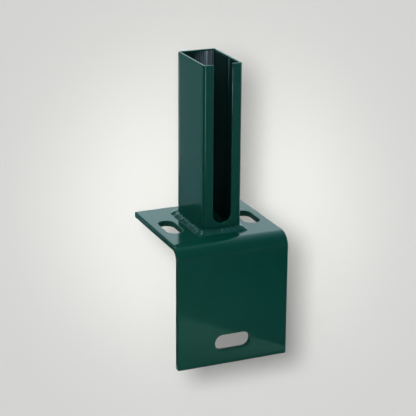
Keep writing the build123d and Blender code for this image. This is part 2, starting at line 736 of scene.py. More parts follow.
@dataclass(frozen=True)
class BarePatch:
    """The patch of the tube's back wall, just inside the rim, where the coat leaves the zinc bare.

    Places run along the back wall from its right corner, heights run down from the rim, and both are in
    millimetres. Each bound has the width that it fades over.
    """

    begin: float = -3.0
    begin_fade: float = 1.0
    end: float = 14.2
    end_fade: float = 2.5
    thinning: float = 0.5
    thins_at: float = 5.5
    thins_fade: float = 2.0
    streak: float = 0.6
    streak_at: float = 10.4
    streak_width: float = 1.0
    top: float = 0.7
    top_fade: float = 0.9

    def share(self, along: np.ndarray, below: np.ndarray) -> np.ndarray:
        """How bare the zinc is. It is less bare past the thinning bound, and coated again on one streak.

        Args:
            along: Places along the back wall.
            below: Depths below the rim.

        Returns:
            The share at each place, from 0 to 1.
        """
        begun = smooth_step((along - self.begin) / self.begin_fade)
        bare = begun * smooth_step((self.end - along) / self.end_fade)
        bare = bare * (1.0 - self.thinning * smooth_step((along - self.thins_at) / self.thins_fade))
        streak = 1.0 - self.streak * np.exp(-(((along - self.streak_at) / self.streak_width) ** 2))
        return bare * streak * smooth_step((below - self.top) / self.top_fade)


@dataclass(frozen=True)
class PaintedLipHighlight:
    """A painted highlight on an edge, drawn as bare zinc: a spot below the rim, and a thin line that runs on
    down from it.

    Depths below the rim are in millimetres. The last three values say, in edge radii, how far the highlight
    reaches over the outer face and into the wall.
    """

    spot: float = 1.25
    spot_at: float = 4.6
    spot_reach: float = 4.0
    line: float = 0.7
    line_start: float = 1.5
    line_start_fade: float = 1.5
    line_end: float = 70.0
    line_end_fade: float = 40.0
    face_reach: float = 1.1
    face_fade: float = 1.3
    wall_reach: float = 1.2

    def amount(self, below: np.ndarray) -> np.ndarray:
        """How strong the painted highlight is.

        Args:
            below: Depths below the rim.

        Returns:
            The wear at each depth, with 1 and more for bare metal.
        """
        spot = self.spot * np.exp(-(((below - self.spot_at) / self.spot_reach) ** 2))
        line = self.line * smooth_step((self.line_end - below) / self.line_end_fade)
        line = line * smooth_step((below - self.line_start) / self.line_start_fade)
        return np.maximum(spot, line)

    def on_rounding(self, profile: np.ndarray, edge_r: float) -> np.ndarray:
        """How much of the painted highlight each point of an edge profile gets.

        Args:
            profile: Pairs of the distance from the edge and the depth.
            edge_r: The radius of the outer rounding.

        Returns:
            A column of shares: 1 on the outer rounding, falling to 0 past it on both sides.
        """
        on_face = smooth_step(self.face_reach - profile[:, :1] / (self.face_fade * edge_r))
        return on_face * smooth_step(self.wall_reach - profile[:, 1:] / edge_r)


@dataclass
class PostTube:
    """The upright rectangular tube, with a round-bottomed mouth down its front and its seam inside.

    The blank has u round the tube, from the middle of the front face over the right side, and h up from
    the foot.
    """

    size_x: float
    size_y: float
    foot_z: float
    height: float
    wall: float = 2.0
    corner_r: float = 2.4
    mouth_half: float = 7.0
    mouth_foot: float = 6.7
    rim_corner_r: float = 0.8
    edge_r: float = 0.65
    inset: float = 1.3
    seam_y: float = -4.0
    seam_width: float = 2.8
    seam_height: float = 0.5
    # The bare weld seam inside, whose pale line is also a painted sheen that fades down the tube as painted
    # shade.
    seam_sheen: float = 0.57
    seam_sheen_width: float = 0.26
    seam_shade_fade: float = 35.0
    # The whole inner face's thin, darker coat, which is painted shade inside the tube.
    inner_thinness_and_shade: float = 0.3
    bare_patch: BarePatch = BarePatch()
    lip_highlight: PaintedLipHighlight = PaintedLipHighlight()
    pitch: float = 4.0
    fine_pitch: float = 1.5
    corner_lines: int = 9
    seam_lines: int = 7
    lip_lines: int = 4
    rim_corner_points: int = 6
    edge_steps: int = 5

    @classmethod
    def from_frame(cls) -> "PostTube":
        """Takes the tube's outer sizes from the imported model.

        Returns:
            The tube, ready to build.
        """
        low, high = (np.array(c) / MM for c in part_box("post_tube"))
        return cls(high[0] - low[0], high[1] - low[1], low[2], high[2] - low[2])

    @property
    def flat_x(self) -> float:
        """The flat width of the front and back faces."""
        return self.size_x - 2 * self.corner_r

    @property
    def flat_y(self) -> float:
        """The flat width of the side faces."""
        return self.size_y - 2 * self.corner_r

    @property
    def arc(self) -> float:
        """The length of one corner, on the outside."""
        return self.corner_r * math.pi / 2

    @property
    def girth(self) -> float:
        """The length once round the outside."""
        return 2 * (self.flat_x + self.flat_y) + 4 * self.arc

    def box(self) -> tuple[np.ndarray, np.ndarray]:
        """The tube's plain box.

        Returns:
            Its lowest and its highest corner.
        """
        half = np.array([self.size_x / 2, self.size_y / 2, 0.0])
        return -half + [0, 0, self.foot_z], half + [0, 0, self.foot_z + self.height]

    def corner_stops(self) -> list[float]:
        """Where the four corners begin and end, going round from the middle of the front face.

        Returns:
            Eight places round the tube.
        """
        at = self.flat_x / 2
        stops = []
        for flat in (self.flat_y, self.flat_x, self.flat_y, 0.0):
            stops += [at, at + self.arc]
            at += self.arc + flat
        return stops

    def fold(self, u: np.ndarray, h: np.ndarray, depth: np.ndarray) -> np.ndarray:
        """Carries points of the flat blank to the tube.

        Going round, the heading turns a quarter over each corner. A point is where the walk along the
        middle line of straight runs has come to, plus the corner radius less the depth, measured square
        to the heading.

        Args:
            u: Places round the tube. They may be below nought or over the girth.
            h: Heights above the foot.
            depth: Depths below the outer face.

        Returns:
            The points, with one more axis of three.
        """
        u, h, depth = np.broadcast_arrays(u, h, depth)
        around = np.mod(u, self.girth)
        stops = self.corner_stops()
        heading = np.zeros_like(around)
        x = np.full_like(around, 0.0)
        y = np.full_like(around, -self.flat_y / 2)
        begin = 0.0
        steps = ((1, 0), (0, 1), (-1, 0), (0, -1), (1, 0))
        for side, (dx, dy) in enumerate(steps):
            end = stops[2 * side] if side < 4 else self.girth
            run = np.clip(around - begin, 0.0, end - begin)
            x = x + dx * run
            y = y + dy * run
            if side < 4:
                heading = heading + np.clip((around - end) / self.arc, 0.0, 1.0) * math.pi / 2
                begin = stops[2 * side + 1]
        reach = self.corner_r - depth
        return np.stack([x + np.sin(heading) * reach, y - np.cos(heading) * reach, self.foot_z + h], -1)

    def edge_loop(
        self, us: np.ndarray, hs: np.ndarray, arc_from: np.ndarray, distance: float
    ) -> np.ndarray:
        """The edge, drawn into the metal by a distance: round the mouth's foot, up its sides, over the rim.

        Args:
            us: The grid lines round the tube, from one side of the mouth to the other.
            hs: The grid lines up the mouth's straight part.
            arc_from: Points outside the mouth's round foot, from its left to its right. Each of the
                foot's points faces one.
            distance: How far into the metal.

        Returns:
            A closed loop of points, with the first one again at the end.
        """
        centre_h = self.mouth_foot + self.mouth_half
        away = arc_from - np.array([0.0, centre_h])
        away = away / np.linalg.norm(away, axis=-1, keepdims=True)
        foot = np.array([0.0, centre_h]) + away * (self.mouth_half + distance)
        side = self.mouth_half + distance
        left = max(self.rim_corner_r - distance, 0.0)
        centre = max(self.rim_corner_r, distance)
        fan = np.linspace(0.0, math.pi / 2, self.rim_corner_points)
        near = np.stack([-np.cos(fan), np.sin(fan)], -1)
        far = np.stack([np.sin(fan), np.cos(fan)], -1)
        top = self.height
        parts = [
            foot,
            np.stack([np.full(len(hs), side), hs], -1)[1:],
            np.array([self.mouth_half + centre, top - centre]) + left * near,
            np.stack([us, np.full(len(us), top - distance)], -1),
            np.array([self.girth - self.mouth_half - centre, top - centre]) + left * far,
            np.stack([np.full(len(hs), self.girth - side), hs[::-1]], -1),
        ]
        return np.concatenate(parts)

    @property
    def seam_at(self) -> float:
        """Where the weld seam runs, round the tube."""
        return self.flat_x / 2 + self.arc + self.flat_y / 2 + self.seam_y

    def seam(self, u: np.ndarray) -> np.ndarray:
        """The height of the weld seam's ridge on the inner face: half a cosine wave across its width."""
        off = (u - self.seam_at) / (self.seam_width / 2)
        return np.where(np.abs(off) < 1, self.seam_height * 0.5 * (1 + np.cos(np.pi * off)), 0.0)

    def bareness_and_painted_light(self, u: np.ndarray, h: np.ndarray) -> np.ndarray:
        """How thin the coat is on the inner face, from 0 for a full coat to 1 for bare zinc.

        The spray hardly gets past the rim on the back wall's right half, where the zinc is bare but for
        one streak. Along the weld seam the mark draws bare zinc as a painted sheen, strongest at the rim and
        fading down the tube as painted shade. The rest of the inside has a thin coat, darkened as painted
        shade.

        Args:
            u: Places round the tube.
            h: Heights above the foot.

        Returns:
            The thinness at each place.
        """
        below = self.height - h
        back_from = self.flat_x / 2 + 2 * self.arc + self.flat_y
        # Painted sheen along the seam, strongest at the rim and fading downwards as painted shade.
        off_seam = (u - self.seam_at) / (self.seam_width * self.seam_sheen_width)
        painted_seam_sheen = self.seam_sheen * np.exp(-below / self.seam_shade_fade) * np.exp(-(off_seam**2))
        bare = np.maximum(self.bare_patch.share(u - back_from, below), painted_seam_sheen)
        return self.inner_thinness_and_shade + (1 - self.inner_thinness_and_shade) * bare

    def lip_highlight_share(self, u: np.ndarray, h: np.ndarray) -> np.ndarray:
        """How much painted highlight, drawn as bare zinc, the front edge of the mouth's right lip gets.

        Args:
            u: Places round the tube.
            h: Heights above the foot.

        Returns:
            The highlight at each place, and nought off that lip.
        """
        on_right_lip = (u > 0) & (u < self.mouth_half + self.inset)
        return np.where(on_right_lip, self.lip_highlight.amount(self.height - h), 0.0)

    def lines_round(self) -> np.ndarray:
        """The grid lines round the tube, from the right end of the front face's flat to its left end.

        They are closer over the corners and the seam.

        Returns:
            Places round the tube, from the lowest up.
        """
        stops = self.corner_stops()
        seam_stops = [self.seam_at - self.seam_width / 2, self.seam_at + self.seam_width / 2]
        wide = grid_lines(sorted([*stops, *seam_stops]), self.pitch)
        corners = [np.linspace(stops[2 * k], stops[2 * k + 1], self.corner_lines) for k in range(4)]
        seam = np.linspace(*seam_stops, self.seam_lines)
        return np.unique(np.round(np.concatenate([wide, *corners, seam]), 6))

    def foot_border(self, us: np.ndarray, hs: np.ndarray) -> np.ndarray:
        """The border of the front face's flat below the mouth's straight part.

        Args:
            us: The grid lines along the foot.
            hs: The grid lines up the sides.

        Returns:
            The border's points, from the top left down, along the foot and up to the top right.
        """
        column = np.full(len(hs), self.flat_x / 2)
        sides = [
            np.stack([-column, hs[::-1]], -1)[:-1],
            np.stack([us, np.zeros(len(us))], -1)[:-1],
            np.stack([column, hs], -1),
        ]
        return np.concatenate(sides)

    def build(self, finish: bpy.types.Material) -> bpy.types.Object:
        """Builds the tube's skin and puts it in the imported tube's place.

        Both faces have a grid beside and above the mouth, a second one round the rest of its foot, and
        a patch whose points lie between the mouth's round foot and the border. An edge strip closes the
        mouth and the rim, and a flat one the sole.

        Args:
            finish: The coat, bare inside.

        Returns:
            The piece.
        """
        centre_h = self.mouth_foot + self.mouth_half
        block = self.flat_x / 2
        inner_edge = self.mouth_half + self.inset
        ring_us = self.lines_round()
        lips = np.linspace(inner_edge, block, self.lip_lines)
        upper_us = np.concatenate([lips[:-1], ring_us, (self.girth - lips[::-1])[1:]])
        upper_hs = grid_lines([centre_h, self.height - self.inset], self.pitch)
        lower_hs = grid_lines([0.0, centre_h], self.fine_pitch)
        floor_us = grid_lines([-block, block], self.fine_pitch)
        border = self.foot_border(floor_us, lower_hs)
        hub = np.array([0.0, centre_h])
        away = (border - hub) / np.linalg.norm(border - hub, axis=-1, keepdims=True)
        lip = hub + away * inner_edge
        share = np.linspace(0.0, 1.0, self.lip_lines)[:, None, None]
        patch = lip * (1 - share) + border * share
        skin = Skin()
        for depth, inside in ((0.0, False), (self.wall, True)):
            for us, hs in ((upper_us, upper_hs), (ring_us, lower_hs)):
                wall_depth = depth - (self.seam(us) if inside else 0.0)
                bare = self.bareness_and_painted_light(us[None, :], hs[:, None]) if inside else None
                grid = self.fold(us[None, :], hs[:, None], np.broadcast_to(wall_depth, us.shape)[None, :])
                skin.add(grid, turned=inside, load=bare)
            skin.add(self.fold(patch[..., 0], patch[..., 1], np.array(depth)), turned=not inside)
        profile = edge_profile(self.inset, self.wall, self.edge_r, self.edge_r, self.edge_steps)
        loops = np.stack([self.edge_loop(upper_us, upper_hs, border, d) for d, _ in profile])
        ridge = np.where(profile[:, 1:] >= self.wall, self.seam(loops[0, :, 0])[None], 0.0)
        depth = profile[:, 1][:, None] - ridge
        # A painted highlight on the right lip's front edge, carried in the mark as bare zinc.
        rounding = self.lip_highlight.on_rounding(profile, self.edge_r)
        lip_highlight_share = self.lip_highlight_share(loops[..., 0], loops[..., 1]) * rounding
        skin.add(self.fold(loops[..., 0], loops[..., 1], depth), turned=False, load=lip_highlight_share)
        sole_us = np.concatenate([floor_us[:-1], ring_us])
        sole_depth = np.array([[0.0], [self.wall]]) - np.array([[0.0], [1.0]]) * self.seam(sole_us)[None]
        skin.add(self.fold(sole_us[None, :], np.zeros((2, 1)), sole_depth), turned=True)
        piece = skin.build("post_tube_coated", Mark.BARE_AND_PAINTED_LIGHT)
        piece.data.materials.append(finish)
        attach(piece, "root")
        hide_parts("post_tube")
        return piece


@dataclass
class WeldRing:
    """The fillet weld once round the tube's foot, laid as four beads that meet at the corners."""

    tube: PostTube
    leg_out: float = 4.9
    leg_up: float = 3.1
    out_drift: tuple[int, float] = (9, 0.16)
    up_drift: tuple[int, float] = (11, 0.12)
    front_lift: float = 0.6
    front_flatness: float = 0.7
    left_lift: float = -0.7
    corner_lift: float = 0.35
    corner_lift_reach: float = 3.0
    bulge: float = 0.6
    toe_corner_r: float = 3.2
    root: float = 0.45
    tuck_out: float = 0.97
    tuck_up: float = 0.95
    ripple_pitch: float = 2.4
    ripple_drift: tuple[int, float] = (40, 0.2)
    ripple_bow: float = 0.35
    ripple: float = 0.06
    ripple_fullness: float = 0.7
    lump: float = 0.045
    lump_waves: int = 70
    lump_turns: tuple[int, int] = (14, 46)
    lump_slant: float = 2.2
    left_coarseness: float = 2.6
    sections: int = 960
    section_points: int = 17
    seed: int = 7

    def path(self) -> tuple[np.ndarray, np.ndarray]:
        """Places and outward directions round the tube's outline, one for each section.

        Returns:
            The distances round the tube and, for each, the point and the outward direction in the plan.
        """
        u = np.linspace(0.0, self.tube.girth, self.sections, endpoint=False)
        skin = self.tube.fold(u, np.zeros(len(u)), np.zeros(len(u)))
        inner = self.tube.fold(u, np.zeros(len(u)), np.ones(len(u)))
        return u, np.concatenate([skin[:, :2], (skin - inner)[:, :2]], 1)

    def drift(self, u: np.ndarray, waves: int, scale: float, shift: int) -> np.ndarray:
        """A slow, closed wander along the bead: a sum of sines, each with whole waves round the tube.

        Args:
            u: Places round the tube.
            waves: How many sines.
            scale: The size of the longest one. The others shrink by the square root of their number.
            shift: What is added to the seed.

        Returns:
            The wander at each place.
        """
        dice = np.random.default_rng(self.seed + shift)
        k = np.arange(1, waves + 1)
        size = dice.normal(size=waves) / np.sqrt(k)
        phase = dice.uniform(0, 2 * math.pi, waves)
        angle = 2 * math.pi * k[:, None] * u / self.tube.girth + phase[:, None]
        return scale * (size[:, None] * np.sin(angle)).sum(0)

    def lumps(self, u: np.ndarray, a: np.ndarray) -> np.ndarray:
        """Lumps three to eleven millimetres long: a sum of waves that run in many directions over the bead.

        Args:
            u: Places round the tube.
            a: Places across the bead, from 0 to 1.

        Returns:
            Heights with a spread of one, for each place round by each place across.
        """
        dice = np.random.default_rng(self.seed + 3)
        around = dice.integers(*self.lump_turns, self.lump_waves)
        over = dice.uniform(-self.lump_slant, self.lump_slant, self.lump_waves)
        start = dice.uniform(0.0, 1.0, self.lump_waves)
        turns = u[:, None, None] * around / self.tube.girth + a[..., None] * over + start
        return np.cos(2 * math.pi * turns).sum(-1) * math.sqrt(2 / self.lump_waves)

    def side(self, u: np.ndarray, middle: float, flat: float) -> np.ndarray:
        """How far a place is on one side of the tube: 1 on its flat, falling to 0 past its corners."""
        half = self.tube.girth / 2
        off = np.abs(np.mod(u - middle + half, self.tube.girth) - half)
        return smooth_step((flat / 2 + self.tube.arc - off) / self.tube.arc)

    def legs(
        self, u: np.ndarray, on_front: np.ndarray, on_left: np.ndarray
    ) -> tuple[np.ndarray, np.ndarray]:
        """The bead's two legs. Both wander slowly.

        At a tube corner the outward directions fan out, and the leg is drawn in there so that the toe
        turns on its own small radius.

        Args:
            u: Places round the tube.
            on_front: How far each is on the front side, from 0 to 1.
            on_left: How far each is on the left side.

        Returns:
            The lengths out over the plate and up the tube, at each place.
        """
        out = self.leg_out + self.drift(u, *self.out_drift, 0)
        up = self.leg_up + self.drift(u, *self.up_drift, 1)
        stops = self.tube.corner_stops()
        middles = [(stops[2 * k] + stops[2 * k + 1]) / 2 for k in range(4)]
        gap = np.min([np.abs(u - m) for m in middles], axis=0)
        toe_r = self.toe_corner_r
        reach = math.sqrt(2.0) * (self.leg_out + self.tube.corner_r - toe_r) + toe_r
        spread = np.clip(1 - gap / (self.tube.arc / 2), 0.0, 1.0)
        out = out + spread * (reach - self.leg_out - self.tube.corner_r)
        up = up + self.corner_lift * np.exp(-((gap / self.corner_lift_reach) ** 2))
        return out, up + self.front_lift * on_front + self.left_lift * on_left

    def arch(self, u: np.ndarray, a: np.ndarray, on_front: np.ndarray, on_left: np.ndarray) -> np.ndarray:
        """How far the bead's face stands over the straight line from toe to toe.

        It is a shallow arch, flatter on the front side, with the weld pool's ripples and the lumps on
        it. Those are coarser on the left side.

        Args:
            u: Places round the tube.
            a: A row of places across the bead, from 0 to 1.
            on_front: How far each place round is on the front side, from 0 to 1.
            on_left: How far each is on the left side.

        Returns:
            The heights, for each place round by each place across.
        """
        bulge = self.bulge * (1 - self.front_flatness * on_front)
        coarse = 1 + self.left_coarseness * on_left**3
        wave = u / self.ripple_pitch + self.drift(u, *self.ripple_drift, 2)
        bow = self.ripple_bow * (2 * a - 1) ** 2
        ripple = self.ripple * np.cos(2 * math.pi * (wave[:, None] + bow)) + self.lump * self.lumps(u, a)
        ripple = ripple * coarse[:, None]
        return bulge[:, None] * 4 * a * (1 - a) + ripple * np.sin(math.pi * a) ** self.ripple_fullness

    def build(self, finish: bpy.types.Material) -> bpy.types.Object:
        """Carries the bead's section round the tube's foot, in the place of the four packed beads.

        The section goes from the toe on the plate over a shallow arch to the toe on the tube, and closes
        through the metal behind.

        Args:
            finish: The coat.

        Returns:
            The piece.
        """
        u, plan = self.path()
        side_middle = self.tube.corner_stops()[6] - self.tube.flat_y / 2
        on_left = self.side(u, side_middle, self.tube.flat_y)
        on_front = self.side(u, 0.0, self.tube.flat_x)
        out, up = self.legs(u, on_front, on_left)
        a = np.linspace(0.0, 1.0, self.section_points)[None, :]
        arch = self.arch(u, a, on_front, on_left)
        rise = np.stack([self.leg_up * np.ones_like(a), self.leg_out * np.ones_like(a)], -1)
        lift = rise / np.linalg.norm(rise, axis=-1, keepdims=True)
        section_out = out[:, None] * (1 - a) + arch * lift[..., 0]
        section_up = up[:, None] * a + arch * lift[..., 1]
        root = np.full(len(u), -self.root)
        behind_out = np.stack([root, root, out * self.tuck_out], -1)
        behind_up = np.stack([up * self.tuck_up, root, root], -1)
        section_out = np.concatenate([section_out, behind_out, section_out[:, :1]], 1)
        section_up = np.concatenate([section_up, behind_up, section_up[:, :1]], 1)
        at = plan[:, None, :2] + plan[:, None, 2:] * section_out[..., None]
        points = np.concatenate([at, self.tube.foot_z + section_up[..., None]], -1)
        points = np.concatenate([points, points[:1]])
        skin = Skin()
        skin.add(points, turned=True)
        piece = skin.build("weld_ring_coated")
        piece.data.materials.append(finish)
        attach(piece, "root")
        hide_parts("weld_front", "weld_right", "weld_back", "weld_left")
        return piece


@dataclass(frozen=True)
class Viewpoint:
    """Where the photograph was taken from."""

    azimuth_deg: float = -23.18
    elevation_deg: float = 18.978
    roll_deg: float = 0.385
    distance_mm: float = 1110.9
    focal_px: float = 1497.3
    target_mm: tuple[float, float, float] = (-0.489, 0.0, 14.809)
    sensor_mm: float = 36.0
    clip_m: tuple[float, float] = (0.05, 60.0)

    def axes(self) -> tuple[Vector, Vector, Vector]:
        """The camera's own directions.

        Returns:
            Right, up and backward, each of length 1.
        """
        az, el, roll = (math.radians(v) for v in (self.azimuth_deg, self.elevation_deg, self.roll_deg))
        back = Vector((math.sin(az) * math.cos(el), -math.cos(az) * math.cos(el), math.sin(el)))
        right = Vector((math.cos(az), math.sin(az), 0.0))
        up = back.cross(right)
        turned_right = right * math.cos(roll) + up * math.sin(roll)
        turned_up = up * math.cos(roll) - right * math.sin(roll)
        return turned_right, turned_up, back

    def station(self) -> Vector:
        """Where the camera stands, in metres."""
        return (Vector(self.target_mm) + self.axes()[2] * self.distance_mm) * MM

    def place(self) -> bpy.types.Object:
        """Makes the camera and hands it to the scene.

        Returns:
            The camera.
        """
        data = bpy.data.cameras.new("photo_camera")
        data.sensor_width = self.sensor_mm
        data.lens = self.focal_px * self.sensor_mm / PHOTO_WIDTH_PX
        data.clip_start, data.clip_end = self.clip_m
        camera = new_object("photo_camera", data)
        turned = Matrix(self.axes()).transposed().to_4x4()
        camera.matrix_world = Matrix.Translation(self.station()) @ turned
        bpy.context.scene.camera = camera
        return camera


@dataclass(frozen=True)
class Card:
    """A flat glowing card, seen only in reflections. Its corner and two sides are in millimetres."""

    name: str
    corner: tuple[float, float, float]
    side_a: tuple[float, float, float]
    side_b: tuple[float, float, float]
    start: float
    end: float
    colour: str = "#FFFFFF"
    end_colour: str = ""

    def place(self) -> bpy.types.Object:
        """Builds the card. Its light and colour go evenly from one end of its first side to the other.

        Returns:
            The card.
        """
        corner, a, b = (np.array(v, float) for v in (self.corner, self.side_a, self.side_b))
        points = np.array([corner, corner + a, corner + a + b, corner + b]) * MM
        mesh = bpy.data.meshes.new(self.name)
        mesh.from_pydata([tuple(p) for p in points], [], [(0, 1, 2, 3)])
        layer = mesh.uv_layers.new(name="card")
        layer.data.foreach_set("uv", np.array([0, 0, 1, 0, 1, 1, 0, 1], np.float32))
        made, tree = new_material(self.name)
        place = add_node(tree, "ShaderNodeTexCoord").outputs["UV"]
        along = add_node(tree, "ShaderNodeSeparateXYZ", {0: place})
        strength = add_node(
            tree,
            "ShaderNodeMapRange",
            {"Value": along.outputs["X"], "To Min": self.start, "To Max": self.end},
        )
        colour = add_node(
            tree,
            "ShaderNodeMix",
            {
                "Factor": along.outputs["X"],
                "A": linear_colour(self.colour),
                "B": linear_colour(self.end_colour or self.colour),
            },
            data_type="RGBA",
        )
        glow = add_node(
            tree,
            "ShaderNodeEmission",
            {"Color": colour.outputs["Result"], "Strength": strength.outputs["Result"]},
        )
        add_node(tree, "ShaderNodeOutputMaterial", {"Surface": glow.outputs[0]})
        mesh.materials.append(made)
        card = new_object(self.name, mesh)
        card.visible_camera = False
        card.visible_diffuse = False
        card.visible_shadow = False
        card.visible_transmission = False
        card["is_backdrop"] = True
        return card


@dataclass(frozen=True)
class Studio:
    """The pale floor, the lamps and the cards round the object."""

    view: Viewpoint
    floor_z: float
    # The painted pool of light on the floor: its brightness at the centre and at the edge, and its size.
    centre_light: float = 0.911
    edge_light: float = 0.652
    pool_px: float = 160.0
    lamp_light: float = 2.6
    own_share: float = 0.27
    floor_size_m: float = 24.0
    room_light: float = 0.35
    backdrop_light: float = 1.40
    front_light: float = 0.28
    light_ramp: tuple[float, float] = (-0.4, 1.08)
    backdrop_tint: str = "#DCF8FF"
    front_tint: str = "#84EAFF"
    tint_ramp: tuple[float, float] = (-0.1, 1.0)
    pool_tint: str = "#FEFFFA"
    floor_tint: str = "#FFFFFD"
    soft_lamp_mm: tuple[float, float, float] = (-250.0, 350.0, 1500.0)
    soft_lamp_size_mm: float = 1100.0
    soft_lamp_watts: float = 8.0
    shadow_lamp_mm: tuple[float, float] = (7.5, 24.0)
    shadow_lamp_watts: tuple[float, float] = (240.0, 80.0)
    shadow_px: tuple[float, float] = (14.0, 9.5)
    stand_in_share: float = 0.4

    def floor_material(self) -> bpy.types.Material:
        """Builds the floor's material, with a painted pool of light: paler in a soft round pool about the
        middle of the picture.

        The painted pool's brightness falls from the centre value to the edge value as the natural exponent of
        minus the cube of the angle off the shadow lamp's line to the object. A small share of it is the
        floor's own glow, and the colour is the rest divided by the light that falls there. That paints out
        how the lamp's light falls on the floor.

        Returns:
            The material.
        """
        made, tree = new_material("pale_matt_floor")
        place = add_node(tree, "ShaderNodeTexCoord").outputs["Object"]
        to_lamp = add_node(
            tree, "ShaderNodeVectorMath", {0: tuple(self.view.station()), 1: place}, operation="SUBTRACT"
        )
        aim = add_node(tree, "ShaderNodeVectorMath", {0: to_lamp.outputs[0]}, operation="NORMALIZE")
        cosine = add_node(
            tree,
            "ShaderNodeVectorMath",
            {0: aim.outputs[0], 1: tuple(self.view.axes()[2])},
            operation="DOT_PRODUCT",
        )
        slope = add_node(tree, "ShaderNodeMath", {0: cosine.outputs["Value"]}, operation="ARCCOSINE")
        off = add_node(
            tree,
            "ShaderNodeMath",
            {0: slope.outputs[0], 1: math.atan(self.pool_px / self.view.focal_px)},
            operation="DIVIDE",
        )
        cube = add_node(tree, "ShaderNodeMath", {0: off.outputs[0], 1: 3.0}, operation="POWER")
        minus = add_node(tree, "ShaderNodeMath", {0: cube.outputs[0], 1: -1.0}, operation="MULTIPLY")
        pool = add_node(tree, "ShaderNodeMath", {0: minus.outputs[0]}, operation="EXPONENT")
        bright = add_node(
            tree,
            "ShaderNodeMapRange",
            {"Value": pool.outputs[0], "To Min": self.edge_light, "To Max": self.centre_light},
        )
        upward = add_node(tree, "ShaderNodeSeparateXYZ", {0: aim.outputs[0]})
        centre_slope = math.sin(math.radians(self.view.elevation_deg))
        light = add_node(
            tree,
            "ShaderNodeMath",
            {0: upward.outputs["Z"], 1: self.lamp_light / centre_slope, 2: self.room_light},
            operation="MULTIPLY_ADD",
        )
        owed = add_node(
            tree,
            "ShaderNodeMath",
            {0: bright.outputs["Result"], 1: 1 - self.own_share},
            operation="MULTIPLY",
        )
        value = add_node(
            tree, "ShaderNodeMath", {0: owed.outputs[0], 1: light.outputs[0]}, operation="DIVIDE"
        )
        tint = add_node(
            tree,
            "ShaderNodeMix",
            {
                "Factor": pool.outputs[0],
                "A": linear_colour(self.floor_tint),
                "B": linear_colour(self.pool_tint),
            },
            data_type="RGBA",
        ).outputs["Result"]
        shade = add_node(
            tree, "ShaderNodeVectorMath", {0: tint, "Scale": value.outputs[0]}, operation="SCALE"
        )
        matt = add_node(tree, "ShaderNodeBsdfDiffuse", {"Color": shade.outputs[0]})
        rays = add_node(tree, "ShaderNodeLightPath").outputs
        clear = add_node(
            tree,
            "ShaderNodeMath",
            {0: rays["Is Camera Ray"], 1: rays["Is Transmission Ray"]},
            operation="MAXIMUM",
        )
        seen = add_node(
            tree, "ShaderNodeMath", {0: clear.outputs[0], 1: rays["Is Glossy Ray"]}, operation="MAXIMUM"
        )
        share = add_node(
            tree, "ShaderNodeMath", {0: seen.outputs[0], 1: self.own_share}, operation="MULTIPLY"
        )
        own = add_node(
            tree, "ShaderNodeMath", {0: bright.outputs["Result"], 1: share.outputs[0]}, operation="MULTIPLY"
        )
        glow = add_node(tree, "ShaderNodeEmission", {"Color": tint, "Strength": own.outputs[0]})
        both = add_node(tree, "ShaderNodeAddShader", {0: matt.outputs[0], 1: glow.outputs[0]})
        add_node(tree, "ShaderNodeOutputMaterial", {"Surface": both.outputs[0]})
        return made

    def floor(self) -> bpy.types.Object:
        """Lays the floor under the object.

        Returns:
            The floor.
        """
        half, z = self.floor_size_m / 2, self.floor_z * MM
        corners = [(-half, -half, z), (half, -half, z), (half, half, z), (-half, half, z)]
        mesh = bpy.data.meshes.new("floor")
        mesh.from_pydata(corners, [], [(0, 1, 2, 3)])
        mesh.materials.append(self.floor_material())
        floor = new_object("floor", mesh)
        floor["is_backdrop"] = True
        return floor

    def room(self) -> None:
        """Sets the room's light: pale to the camera and in reflections, lower on matt surfaces.

        Reflections see a bright backdrop behind the object and a dimmer room in front of it.
        """
        world = bpy.data.worlds.new("room")
        bpy.context.scene.world = world
        world.use_nodes = True
        tree = world.node_tree
        tree.nodes.clear()
        rays = add_node(tree, "ShaderNodeLightPath").outputs
        _, _, back = self.view.axes()
        ahead = Vector((-back.x, -back.y, 0.0)).normalized()
        looked = add_node(tree, "ShaderNodeTexCoord").outputs["Generated"]
        toward = add_node(
            tree, "ShaderNodeVectorMath", {0: looked, 1: tuple(ahead)}, operation="DOT_PRODUCT"
        )
        low, high = self.light_ramp
        mirrored = add_node(
            tree,
            "ShaderNodeMapRange",
            {
                "Value": toward.outputs["Value"],
                "From Min": low,
                "From Max": high,
                "To Min": self.front_light,
                "To Max": self.backdrop_light,
            },
            interpolation_type="SMOOTHSTEP",
        )
        glossy = add_node(
            tree,
            "ShaderNodeMix",
            {"Factor": rays["Is Glossy Ray"], "A": self.room_light, "B": mirrored.outputs["Result"]},
        )
        clear = add_node(
            tree,
            "ShaderNodeMath",
            {0: rays["Is Camera Ray"], 1: rays["Is Transmission Ray"]},
            operation="MAXIMUM",
        )
        seen = add_node(
            tree,
            "ShaderNodeMix",
            {"Factor": clear.outputs[0], "A": glossy.outputs["Result"], "B": self.edge_light},
        )
        low, high = self.tint_ramp
        behind = add_node(
            tree,
            "ShaderNodeMapRange",
            {"Value": toward.outputs["Value"], "From Min": low, "From Max": high},
        )
        mirrored_colour = add_node(
            tree,
            "ShaderNodeMix",
            {
                "Factor": behind.outputs["Result"],
                "A": linear_colour(self.front_tint),
                "B": linear_colour(self.backdrop_tint),
            },
            data_type="RGBA",
        )
        tint = add_node(
            tree,
            "ShaderNodeMix",
            {
                "Factor": rays["Is Glossy Ray"],
                "A": linear_colour(self.floor_tint),
                "B": mirrored_colour.outputs["Result"],
            },
            data_type="RGBA",
        )
        background = add_node(
            tree,
            "ShaderNodeBackground",
            {"Color": tint.outputs["Result"], "Strength": seen.outputs["Result"]},
        )
        add_node(tree, "ShaderNodeOutputWorld", {"Surface": background.outputs[0]})

